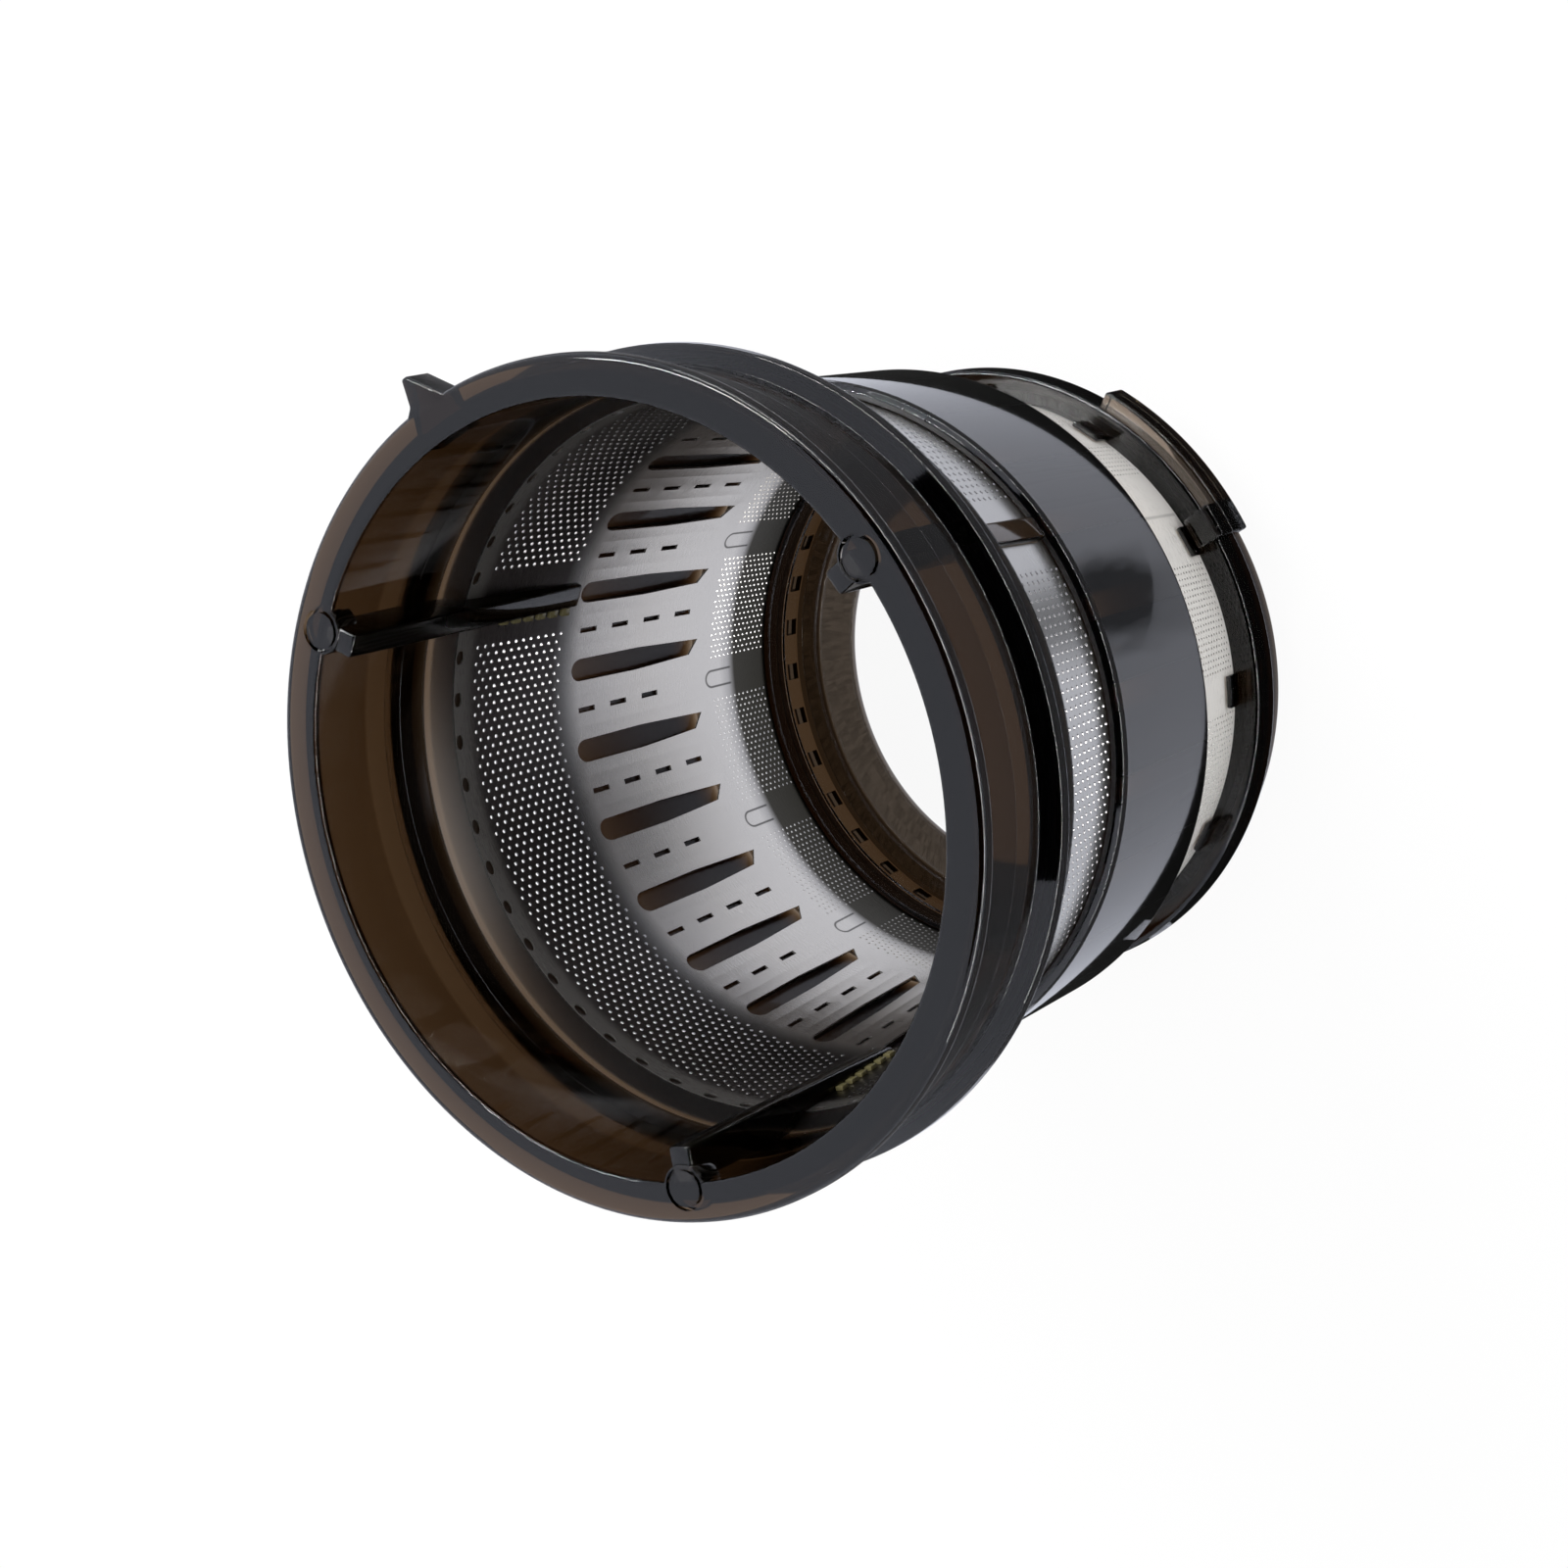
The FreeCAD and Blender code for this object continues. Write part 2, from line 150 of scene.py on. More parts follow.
def prism(name, outlines, low, high, plane):
    # Closed outlines pushed straight from low to high, along z for a plan outline or across for a side one.
    points = []
    faces = []
    for outline, angle in outlines:
        outline = np.asarray(outline, float)
        count = len(outline)
        first = sum(len(p) for p in points)
        flat = np.concatenate([outline, outline])
        level = np.repeat([low, high], count)
        if plane == "plan":
            x, y, z = flat[:, 0], flat[:, 1], level
        else:
            x, y, z = flat[:, 0], level, height - flat[:, 1]
        c, s = math.cos(math.radians(angle)), math.sin(math.radians(angle))
        points.append(np.stack([x * c - y * s, x * s + y * c, z], -1))
        k = np.arange(count)
        n = (k + 1) % count
        faces += (np.stack([k, n, n + count, k + count], -1) + first).tolist()
        faces.append((k[::-1] + first).tolist())
        faces.append((k + count + first).tolist())
    return tidyNormals(newPiece(name, np.concatenate(points), faces))


def tidyNormals(piece):
    # Doubles are merged first, then the faces are turned outwards.
    work = bmesh.new()
    work.from_mesh(piece.data)
    bmesh.ops.remove_doubles(work, verts=work.verts, dist=1e-7)
    bmesh.ops.recalc_face_normals(work, faces=work.faces)
    work.to_mesh(piece.data)
    work.free()
    return piece


def baked(piece):
    # The piece's modifiers become its mesh.
    graph = bpy.context.evaluated_depsgraph_get()
    mesh = bpy.data.meshes.new_from_object(piece.evaluated_get(graph))
    piece.modifiers.clear()
    piece.data = mesh
    return piece


def softEdges(piece, width, segments=3):
    # A small round on every edge sharper than the angle.
    bevel = piece.modifiers.new("edges", "BEVEL")
    bevel.width = width * mm
    bevel.segments = segments
    bevel.limit_method = "ANGLE"
    bevel.angle_limit = math.radians(edgeAngle["rounded"])
    return baked(piece)


def joined(base, others, how):
    # Adds or cuts the other pieces, which are used up.
    for other in others:
        step = base.modifiers.new("step", "BOOLEAN")
        step.operation = how
        step.solver = "MANIFOLD"
        step.object = other
    baked(base)
    for other in others:
        bpy.data.objects.remove(other, do_unlink=True)
    return base


def finished(piece, material, node):
    # Smooth shading but for sharp edges, and the piece's place in the shared frame.
    piece.data.materials.clear()
    piece.data.materials.append(material)
    piece.data.polygons.foreach_set("use_smooth", np.ones(len(piece.data.polygons), bool))
    piece.data.set_sharp_from_angle(angle=math.radians(edgeAngle["sharp"]))
    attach(piece, "root")
    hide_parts(node)
    return piece


class Wire:
    # A node socket that takes part in Python sums.
    def __init__(self, tree, socket):
        self.tree = tree
        self.socket = socket

    def node(self, kind, settings=None, **sockets):
        # A new node with its settings. Sockets go by name, or by number after one letter.
        made = self.tree.nodes.new(kind)
        for key, value in (settings or {}).items():
            if key == "stops":
                ramp = made.color_ramp
                while len(ramp.elements) < len(value):
                    ramp.elements.new(0.5)
                for element, (place, colour) in zip(ramp.elements, value):
                    element.position = place
                    element.color = (*colour, 1)
            else:
                setattr(made, key, value)
        for key, value in sockets.items():
            place = made.inputs[int(key[1:])] if key[1:].isdigit() else made.inputs[key.replace("_", " ")]
            if isinstance(value, Wire):
                self.tree.links.new(value.socket, place)
            else:
                place.default_value = value
        return made

    def out(self, made, name=0):
        return Wire(self.tree, made.outputs[name])

    def maths(self, operation, *values):
        # One maths node over values or wires.
        return self.out(self.node("ShaderNodeMath", {"operation": operation},
                                  **{"i%d" % i: v for i, v in enumerate(values)}))

    def __add__(self, other):
        return self.maths("ADD", self, other)

    def __radd__(self, other):
        return self.maths("ADD", other, self)

    def __sub__(self, other):
        return self.maths("SUBTRACT", self, other)

    def __rsub__(self, other):
        return self.maths("SUBTRACT", other, self)

    def __mul__(self, other):
        return self.maths("MULTIPLY", self, other)

    def __rmul__(self, other):
        return self.maths("MULTIPLY", other, self)

    def __truediv__(self, other):
        return self.maths("DIVIDE", self, other)

    def __abs__(self):
        return self.maths("ABSOLUTE", self)

    def scaled(self, factor):
        # A vector or colour times a number.
        return self.out(self.node("ShaderNodeVectorMath", {"operation": "SCALE"}, i0=self, Scale=factor))

    def between(self, low, high):
        # 0 below low, 1 above high, straight between.
        return self.out(self.node("ShaderNodeMapRange", {"clamp": True},
                                  i0=self, i1=low, i2=high, i3=0.0, i4=1.0))

    def blend(self, first, second):
        # The first colour at 0, the second at 1.
        return self.out(self.node("ShaderNodeMix", {"data_type": "RGBA"}, i0=self, i6=first, i7=second), 2)


def newMaterial(name):
    # A material with its tree, its main shader and a wire to begin sums with.
    material = bpy.data.materials.new(name)
    material.use_nodes = True
    tree = material.node_tree
    shader = tree.nodes["Principled BSDF"]
    return material, tree, shader, Wire(tree, None)


smoky = {"ior": 1.5, "roughness": 0.035, "rippleScale": 45.0, "ripple": 0.03, "coatRoughness": 0.03,
         "tint": (0.36, 0.22, 0.03), "zoneEdge": 0.08, "mattEdge": 0.1}


def smokyPlastic(name, density, coat=0.0, matt=(0.0, 0.0, 0.0), dark=(1.0, ())):
    # Clear gloss skin over a brown body that darkens with its thickness. Lengths are in millimetres.
    # matt is (roughness added, reach outwards from the steel, height up to which it holds).
    # dark is (tone, zones), each zone a turned box: radius from, radius to, height from, height to.
    s = smoky
    material, tree, shader, wire = newMaterial(name)
    shader.inputs["Base Color"].default_value = (1, 1, 1, 1)
    shader.inputs["Transmission Weight"].default_value = 1.0
    shader.inputs["IOR"].default_value = s["ior"]
    shader.inputs["Coat Weight"].default_value = coat
    shader.inputs["Coat Roughness"].default_value = s["coatRoughness"]
    place = wire.out(tree.nodes.new("ShaderNodeTexCoord"), "Object")
    wave = wire.out(wire.node("ShaderNodeTexNoise", None, Vector=place, Scale=s["rippleScale"], Detail=1.0))
    rough = wave * s["ripple"] + s["roughness"]
    tone, zones = dark
    added, reach, top = matt
    if zones or added:
        apart = wire.node("ShaderNodeSeparateXYZ", None, Vector=place.scaled(1 / mm))
        x, y, z = wire.out(apart, 0), wire.out(apart, 1), wire.out(apart, 2)
        far = wire.maths("SQRT", x * x + y * y)
    if zones:
        e = s["zoneEdge"]
        mask = sum(far.between(a, a + e) * (1 - far.between(b - e, b)) * z.between(c, c + e)
                   * (1 - z.between(d - e, d)) for a, b, c, d in zones)
        shade = mask.blend((1, 1, 1, 1), (tone, tone, tone, 1))
        tree.links.new(shade.socket, shader.inputs["Base Color"])
    if added:
        # Distance outwards from the steel's inner face.
        out = far - (z * coneFall + (cone["topRadius"] - (height - cone["top"]) * coneFall))
        e = s["mattEdge"]
        rough = rough + (1 - out.between(reach - e, reach)) * (1 - z.between(top - e, top)) * added
    tree.links.new(rough.socket, shader.inputs["Roughness"])
    body = tree.nodes.new("ShaderNodeVolumeAbsorption")
    body.inputs["Color"].default_value = (*s["tint"], 1)
    body.inputs["Density"].default_value = density
    tree.links.new(body.outputs[0], tree.nodes["Material Output"].inputs["Volume"])
    return material


def pegPaintedBacklight():
    # The small heads catch light from the holes behind them. Their solid olive base colour is partly the
    # plastic's own tint and partly painted light from those holes.
    material, _, shader, _ = newMaterial("pegPaintedBacklight")
    shader.inputs["Base Color"].default_value = (0.17, 0.15, 0.07, 1)
    shader.inputs["Roughness"].default_value = 0.25
    return material


# Tones of the steel's inner face at depths below the rim, and of its outer face at top and foot. They are
# painted reflection and shade: dark inside at the upper mesh and at the foot, bright inside at the slotted
# zone, and lighter outside at the foot.
steelLook = {"inside": [
    (25.8, (0.13, 0.125, 0.12)), (28.6, (0.12, 0.113, 0.108)), (30.5, (0.120, 0.108, 0.104)),
    (44.5, (0.100, 0.092, 0.089)), (46.8, (0.30, 0.295, 0.285)), (49.5, (0.68, 0.655, 0.615)),
    (62.0, (0.70, 0.665, 0.605)), (78.5, (0.72, 0.69, 0.635)), (80.3, (0.50, 0.48, 0.45)),
    (81.6, (0.06, 0.056, 0.046)), (88.0, (0.04, 0.037, 0.029))],
    "from": 25.0, "span": 65.0, "low": 0.22, "high": 0.36,
    "paintedOutsideTop": (0.55, 0.54, 0.52, 1), "paintedOutsideFoot": (0.78, 0.76, 0.73, 1), "outsideChange": (46.0, 76.0),
    "satin": 0.55, "stripSatin": 0.45, "stripEnd": (28.2, 29.6),
    "markStart": 7.5, "markPitch": 30.0, "markDepth": 78.0, "markTop": 76.8, "markRadius": 1.2,
    "markFoot": 81.0, "markFade": 0.4, "markEdge": (0.08, 0.22), "markPaintedShade": 0.75, "markDeep": 2.0,
    "seam": -1.0, "seamEdge": (0.15, 0.5), "seamShade": 0.35, "seamRough": 0.1, "slotted": (45.0, 76.0),
    "lineStretch": (0.25, 14.0, 1.0), "lineScale": 1.6, "lineShade": 0.06, "lineBump": (0.12, 0.00003),
    "mottleScale": 90.0, "mottleShade": 0.12, "mottleRough": 0.08, "shade": 0.9}


def rolledSteel():
    # Rolled sheet: fine lines round the cone, soft mottling, a weld line and a bent mark with painted shade
    # on each plain strip, over tones in depth that are painted reflection and shade.
    s = steelLook
    material, tree, shader, wire = newMaterial("meshSteel")
    where = wire.out(tree.nodes.new("ShaderNodeUVMap"), 0)
    apart = tree.nodes.new("ShaderNodeSeparateXYZ")
    tree.links.new(where.socket, apart.inputs[0])
    azimuth = wire.out(apart, 0)
    depth = wire.out(apart, 1)
    outside = wire.out(wire.node("ShaderNodeAttribute", {"attribute_name": "outerFace"}), 2)
    stretch = wire.out(wire.node("ShaderNodeMapping", None, Vector=where, Scale=s["lineStretch"]))
    lines = wire.out(wire.node("ShaderNodeTexNoise", None, Vector=stretch, Scale=s["lineScale"], Detail=4.0))
    place = wire.out(tree.nodes.new("ShaderNodeTexCoord"), "Object")
    mottle = wire.out(wire.node("ShaderNodeTexNoise", None, Vector=place, Scale=s["mottleScale"], Detail=3.0))
    # Painted reflection and shade: the tones in depth on the inner face, and the top and foot tones on the
    # outer face.
    stops = [((d - s["from"]) / s["span"], colour) for d, colour in s["inside"]]
    inside = wire.out(wire.node("ShaderNodeValToRGB", {"stops": stops}, Fac=(depth - s["from"]) / s["span"]))
    lower = depth.between(*s["outsideChange"])
    tint = outside.blend(inside, lower.blend(s["paintedOutsideTop"], s["paintedOutsideFoot"]))
    strip = (1 - outside) * (1 - depth.between(*s["stripEnd"]))
    metal = 1 - outside * lower * s["satin"] - strip * s["stripSatin"]
    tree.links.new(metal.socket, shader.inputs["Metallic"])
    # The bent mark: two legs that join in a half circle, as the distance from that line. The bend is real,
    # and its darkening of the base colour is painted shade along the bend, beside its bump.
    turn = wire.maths("FLOORED_MODULO", azimuth - s["markStart"], s["markPitch"]) - s["markPitch"] / 2
    across = turn * math.radians(float(coneInside(s["markDepth"])))
    above = wire.maths("MAXIMUM", s["markTop"] - depth, 0.0)
    ring = abs(wire.maths("SQRT", across * across + above * above) - s["markRadius"])
    mark = 1 - ring.between(*s["markEdge"])
    mark = mark * (1 - depth.between(s["markFoot"] - s["markFade"], s["markFoot"])) * (1 - outside)
    # The weld line shows beyond the slotted zone only.
    top, foot = s["slotted"]
    slotted = depth.between(top, top + 1) * (1 - depth.between(foot - 1, foot))
    weld = (1 - abs(azimuth - s["seam"]).between(*s["seamEdge"])) * (1 - slotted)
    shade = s["shade"] + mottle * s["mottleShade"] + lines * s["lineShade"]
    shade = shade * (1 - mark * s["markPaintedShade"]) * (1 - weld * s["seamShade"])
    tree.links.new(tint.scaled(shade).socket, shader.inputs["Base Color"])
    rough = lines * (s["high"] - s["low"]) + s["low"] + (mottle - 0.5) * s["mottleRough"]
    rough = rough + weld * s["seamRough"]
    tree.links.new(rough.socket, shader.inputs["Roughness"])
    strength, distance = s["lineBump"]
    relief = lines - mark * s["markDeep"]
    bump = wire.node("ShaderNodeBump", None, Strength=strength, Distance=distance, Height=relief)
    tree.links.new(bump.outputs[0], shader.inputs["Normal"])
    return material


def conePoint(azimuth, depth, outer):
    # Azimuth in degrees and depth in millimetres to a place on the inner or outer face of the steel.
    r = coneInside(depth) + np.where(outer, cone["shown"], 0.0)
    a = np.radians(azimuth)
    return np.stack([r * np.cos(a), r * np.sin(a), height - depth + 0 * r], -1)


class Sheet:
    # Gathers patches of the steel, each as grids on the unrolled cone.
    def __init__(self):
        self.points = []
        self.flat = []
        self.sides = []
        self.faces = []
        self.count = 0

    def add(self, azimuth, depth, outer, faces):
        # Points of one patch with their place on the unrolled sheet and the face they lie on.
        shape = np.broadcast_shapes(np.shape(azimuth), np.shape(depth))
        az = np.broadcast_to(azimuth, shape).reshape(-1)
        de = np.broadcast_to(depth, shape).reshape(-1)
        ou = np.broadcast_to(outer, shape).reshape(-1)
        self.points.append(conePoint(az, de, ou))
        self.flat.append(np.stack([az, de], -1))
        self.sides.append(ou.astype(np.float32))
        self.faces.append(faces + self.count)
        self.count += len(az)

    def plain(self, azimuths, depths):
        # A patch without holes, inner face and outer face.
        az, de = np.meshgrid(azimuths, depths, indexing="ij")
        quads = gridFaces(len(azimuths), len(depths), False, False)
        self.add(az, de, False, quads)
        self.add(az, de, True, quads[:, ::-1])

    def pierced(self, middleAz, middleDe, borderAz, borderDe, holeAz, holeDe):
        # Many like cells: a hole outline, the cell's own border, and the wall of the hole between the faces.
        cells = len(middleAz)
        sides = len(holeAz)
        az = np.stack([middleAz[:, None] + holeAz, middleAz[:, None] + borderAz], 1)
        de = np.stack([middleDe[:, None] + holeDe, middleDe[:, None] + borderDe], 1)
        ring = gridFaces(2, sides, False, True)
        each = (np.arange(cells) * 2 * sides)[:, None, None]
        inner = (ring[None] + each).reshape(-1, 4)
        self.add(az, de, False, inner)
        self.add(az, de, True, inner[:, ::-1])
        wallAz = np.broadcast_to(az[:, :1], az.shape)
        wallDe = np.broadcast_to(de[:, :1], de.shape)
        outer = np.broadcast_to(np.array([False, True])[None, :, None], az.shape)
        self.add(wallAz, wallDe, outer, inner[:, ::-1])

    def edge(self, azimuths, depth, top):
        # The rim of the sheet at its top or foot.
        az = np.stack([azimuths, azimuths], -1)
        outer = np.broadcast_to(np.array([False, True]), az.shape)
        quads = gridFaces(len(azimuths), 2, False, False)
        self.add(az, np.full(az.shape, float(depth)), outer, quads[:, ::-1] if top else quads)

    def piece(self, name):
        # All patches as one mesh, with the unrolled places as its map.
        points = np.concatenate(self.points) * mm
        flat = np.concatenate(self.flat)
        faces = np.concatenate(self.faces)
        mesh = bpy.data.meshes.new(name)
        mesh.vertices.add(len(points))
        mesh.vertices.foreach_set("co", points.reshape(-1))
        mesh.loops.add(faces.size)
        mesh.loops.foreach_set("vertex_index", faces.reshape(-1).astype(np.int32))
        mesh.polygons.add(len(faces))
        mesh.polygons.foreach_set("loop_start", np.arange(len(faces), dtype=np.int32) * 4)
        mesh.update(calc_edges=True)
        mesh.validate()
        layer = mesh.uv_layers.new(name="unrolled")
        order = np.empty(len(mesh.loops), np.int32)
        mesh.loops.foreach_get("vertex_index", order)
        layer.data.foreach_set("uv", flat[order].reshape(-1))
        side = mesh.attributes.new("outerFace", "FLOAT", "POINT")
        side.data.foreach_set("value", np.concatenate(self.sides))
        piece = bpy.data.objects.new(name, mesh)
        scene.collection.objects.link(piece)
        # Patches side by side share their border points.
        work = bmesh.new()
        work.from_mesh(mesh)
        bmesh.ops.remove_doubles(work, verts=work.verts, dist=2e-6)
        work.to_mesh(mesh)
        work.free()
        return piece


def boxBorder(sides):
    # The border of a unit cell, met by rays at even angles.
    a = np.arange(sides) * tau / sides
    reach = np.maximum(abs(np.cos(a)), abs(np.sin(a)))
    return np.cos(a) / reach, np.sin(a) / reach


print("scene: helpers ready")

clearPlastic = smokyPlastic("smokyPlastic", density=1400.0)
ribPlastic = smokyPlastic("smokyPlasticThick", density=2200.0)
bandPlastic = smokyPlastic("smokyPlasticBand", density=3000.0, coat=0.3, matt=(0.4, 1.2, 60.0))
# The foot's dark zones are painted shade in its base colour: the floor inside the ring, which gets no light
# from below, and the backs of the recesses in the inner lip.
footPlastic = smokyPlastic("smokyPlasticFoot", density=1500.0,
                           dark=(0.13, ((0.0, 50.0, -1.0, 2.8), (39.42, 40.8, 4.4, 6.7))))
collarPlastic = smokyPlastic("smokyPlasticCollar", density=1700.0, matt=(0.4, 2.5, 77.9),
                             dark=(0.04, ((0.0, 51.2, 77.7, 83.0), (0.0, 49.3, 71.9, 73.8))))
lugPlastic = smokyPlastic("smokyPlasticThin", density=420.0)
pegPlastic = pegPaintedBacklight()
meshSteel = rolledSteel()

holeSides = 8
fullTurn = np.linspace(0, 360, 241)


def panelColumns(m):
    # Azimuths of a panel's columns about its middle, and half the panel's width.
    column = np.arange(m["columns"]) - (m["columns"] - 1) / 2
    return column * m["pitch"], m["columns"] * m["pitch"] / 2


def holeZone(m, first):
    # Depths at which the cells of the holes begin and end.
    return first - m["step"] / 2, first + (m["rows"] - 0.5) * m["step"]


def holePanel(sheet, m, az, first, bare):
    # Columns of round holes, every other one moved down by half a step and plain at its ends.
    low, high = holeZone(m, first)
    borderAz, borderDe = boxBorder(holeSides)
    turn = np.arange(holeSides) * tau / holeSides
    holeAz = np.degrees(m["hole"] / coneInside(m["middle"])) * np.cos(turn)
    holeDe = m["hole"] * np.sin(turn)
    across = np.array([-0.5, 0.0, 0.5]) * m["pitch"]
    for own in az[bare]:
        sheet.plain(own + across, np.array([low, high]))
    for odd in (0, 1):
        own = az[odd::2][~bare[odd::2]]
        rows = first + odd * m["step"] / 2 + np.arange(m["rows"] - odd) * m["step"]
        cellAz, cellDe = np.meshgrid(own, rows, indexing="ij")
        sheet.pierced(cellAz.reshape(-1), cellDe.reshape(-1), borderAz * m["pitch"] / 2,
                      borderDe * m["step"] / 2, holeAz, holeDe)
    for own in az[1::2][~bare[1::2]]:
        sheet.plain(own + across, np.array([low, low + m["step"] / 2]))
        sheet.plain(own + across, np.array([high - m["step"] / 2, high]))


upperMesh = {"panels": (60, 180, 300), "columns": 73, "pitch": 1.463, "rows": 12, "first": 29.8,
             "step": 1.436, "hole": 0.29, "middle": 37.7}


def upperMeshPiece():
    # Three panels of holes with plain strips at the ribs.
    m = upperMesh
    sheet = Sheet()
    low, high = holeZone(m, m["first"])
    place, half = panelColumns(m)
    pitch = 360 / len(m["panels"])
    for panel in m["panels"]:
        holePanel(sheet, m, panel + place, m["first"], np.zeros(len(place), bool))
        sheet.plain(panel + half + np.linspace(0, pitch - 2 * half, 9), np.array([low, high]))
    return finished(sheet.piece("upperMesh"), meshSteel, "mesh_sleeve")


topEdge = {"count": 50, "first": 6.2, "split": 27.4, "radius": 48.3, "across": 1.05, "along": 0.68,
           "sides": 16}


def topEdgePiece():
    # The plain top strip with a row of oval anchor holes.
    t = topEdge
    sheet = Sheet()
    borderAz, borderDe = boxBorder(t["sides"])
    turn = np.arange(t["sides"]) * tau / t["sides"]
    low, split = cone["top"], t["split"]
    high = holeZone(upperMesh, upperMesh["first"])[0]
    pitch = 360 / t["count"]
    middle = t["first"] + np.arange(t["count"]) * pitch
    cellDe = np.full(t["count"], (low + split) / 2)
    sheet.pierced(middle, cellDe, borderAz * pitch / 2, borderDe * (split - low) / 2,
                  np.degrees(t["across"] / t["radius"]) * np.cos(turn), t["along"] * np.sin(turn))
    sheet.plain(fullTurn, np.array([split, high]))
    sheet.edge(fullTurn, low, True)
    return finished(sheet.piece("topEdge"), meshSteel, "mesh_sleeve")


slotBand = {"count": 24, "top": 48.3, "length": 25.6, "width": 3.3, "foot": 2.15, "waist": 13.2, "slant": 1.7,
            "margin": 1.2, "share": 9.0, "dash": (0.75, 3.2), "dashes": (49.5, 55.8, 62.2, 68.6),
            "from": 46.31, "to": 76.2, "runs": 8, "dashRuns": 3,
            "grooveSweep": 4.4, "grooveDeep": 0.5, "grooveIn": 0.2}


def boxRun(left, right, low, high, n):
    # A box walked down its left side, along its foot, up its right side and back along its top.
    u = np.linspace(0, 1, n, endpoint=False)
    one = np.ones(n)
    wide, tall = right - left, high - low
    return (np.concatenate([left * one, left + wide * u, right * one, right - wide * u]),
            np.concatenate([low + tall * u, high * one, high - tall * u, low * one]))


def slotOutline(s, n):
    # Left side, slanted foot, right side and round top, each as a run of n points about the slot's axis.
    w, f = s["width"] / 2, s["foot"] / 2
    start = s["top"] + w
    waist = s["top"] + s["waist"]
    foot = s["top"] + s["length"]
    u = np.linspace(0, 1, n, endpoint=False)
    down = np.concatenate([np.linspace(start, waist, n // 2, endpoint=False),
                           np.linspace(waist, foot, n - n // 2, endpoint=False)])
    ease = np.clip((down - waist) / (foot - waist), 0, 1)
    leftX = -w + (w - f) * ease
    rightDown = np.linspace(foot - s["slant"], start, n, endpoint=False)
    rightEase = np.clip((rightDown - waist) / (foot - s["slant"] - waist), 0, 1)
    rightX = w - (w - f) * rightEase
    footX = -f + 2 * f * u
    footD = foot - s["slant"] * u
    arc = u * math.pi
    topX = w * np.cos(arc)
    topD = start - w * np.sin(arc)
    return np.concatenate([leftX, footX, rightX, topX]), np.concatenate([down, footD, rightDown, topD])


def slotBandPiece():
    # Tall slots and columns of short dashes between two plain strips.
    s = slotBand
    sheet = Sheet()
    pitch = 360 / s["count"]
    half = s["share"] / 2
    low, high = s["top"] - s["margin"], s["top"] + s["length"] + s["margin"]
    x, d = slotOutline(s, s["runs"])
    borderAz, borderDe = boxRun(-half, half, low, high, s["runs"])
    middle = np.arange(s["count"]) * pitch
    zero = np.zeros(s["count"])
    sheet.pierced(middle, zero, borderAz[::-1], borderDe[::-1], np.degrees(x / coneInside(d))[::-1], d[::-1])
    # Dash columns fill the room between the slots.
    n = s["dashRuns"]
    gapHalf = (pitch - s["share"]) / 2
    wide, tall = s["dash"]
    dashX, dashD = boxRun(-wide / 2, wide / 2, -tall / 2, tall / 2, n)
    stops = [low] + [(a + b + tall) / 2 for a, b in zip(s["dashes"][:-1], s["dashes"][1:])] + [high]
    for k, top in enumerate(s["dashes"]):
        own = middle + pitch / 2
        if k == len(s["dashes"]) - 1:
            # The last row has a dash in every other column.
            for bare in own[1::2]:
                sheet.plain(bare + np.linspace(-gapHalf, gapHalf, n + 1), np.array([stops[k], stops[k + 1]]))
            own = own[0::2]
        centre = top + tall / 2
        edgeAz, edgeDe = boxRun(-gapHalf, gapHalf, stops[k] - centre, stops[k + 1] - centre, n)
        sheet.pierced(own, np.full(len(own), centre), edgeAz[::-1], edgeDe[::-1],
                      np.degrees(dashX / coneInside(centre))[::-1], dashD[::-1])
    sheet.plain(fullTurn, np.array([s["from"], low]))
    sheet.plain(fullTurn, np.array([high, s["to"]]))
    return finished(sheet.piece("slotBand"), meshSteel, "mesh_sleeve")


lowerMesh = {"panels": 12, "start": 7.5, "columns": 19, "pitch": 1.171, "rows": 13, "step": 0.885,
             "hole": 0.2, "middle": 82.0, "from": 76.2, "to": 88.3, "margin": 0.3, "bare": (-11.0, 9.0)}


def lowerMeshPiece():
    # Finer holes in twelve panels with plain strips between them.
    m = lowerMesh
    sheet = Sheet()
    first = m["from"] + m["margin"] + m["step"] / 2
    low, high = holeZone(m, first)
    place, half = panelColumns(m)
    pitch = 360 / m["panels"]
    for k in range(m["panels"]):
        panel = m["start"] + k * pitch
        az = panel + place
        # The sheet's overlap by the weld has no holes.
        holePanel(sheet, m, az, first, (az > m["bare"][0]) & (az < m["bare"][1]))
        sheet.plain(panel + half + np.linspace(0, pitch - 2 * half, 6), np.array([low, high]))
    sheet.plain(fullTurn, np.array([m["from"], low]))
    sheet.plain(fullTurn, np.array([high, m["to"]]))
    sheet.edge(fullTurn, m["to"], False)
    return finished(sheet.piece("lowerMesh"), meshSteel, "mesh_sleeve")


topEdgePiece()
upperMeshPiece()
slotBandPiece()
lowerMeshPiece()
print("scene: steel sleeve ready")


def sleeveRoom(name):
    # The steel with its clearance, to be cut from the plastic.
    c = cone
    fit = c["fit"]
    top, foot = c["top"] - fit, c["roomFoot"]
    return turnedRing(name, np.array([
        [coneInside(top) - fit, top], [coneInside(top) + c["sheet"] + fit, top],
        [coneInside(foot) + c["sheet"] + fit, foot], [coneInside(foot) - fit, foot]]))


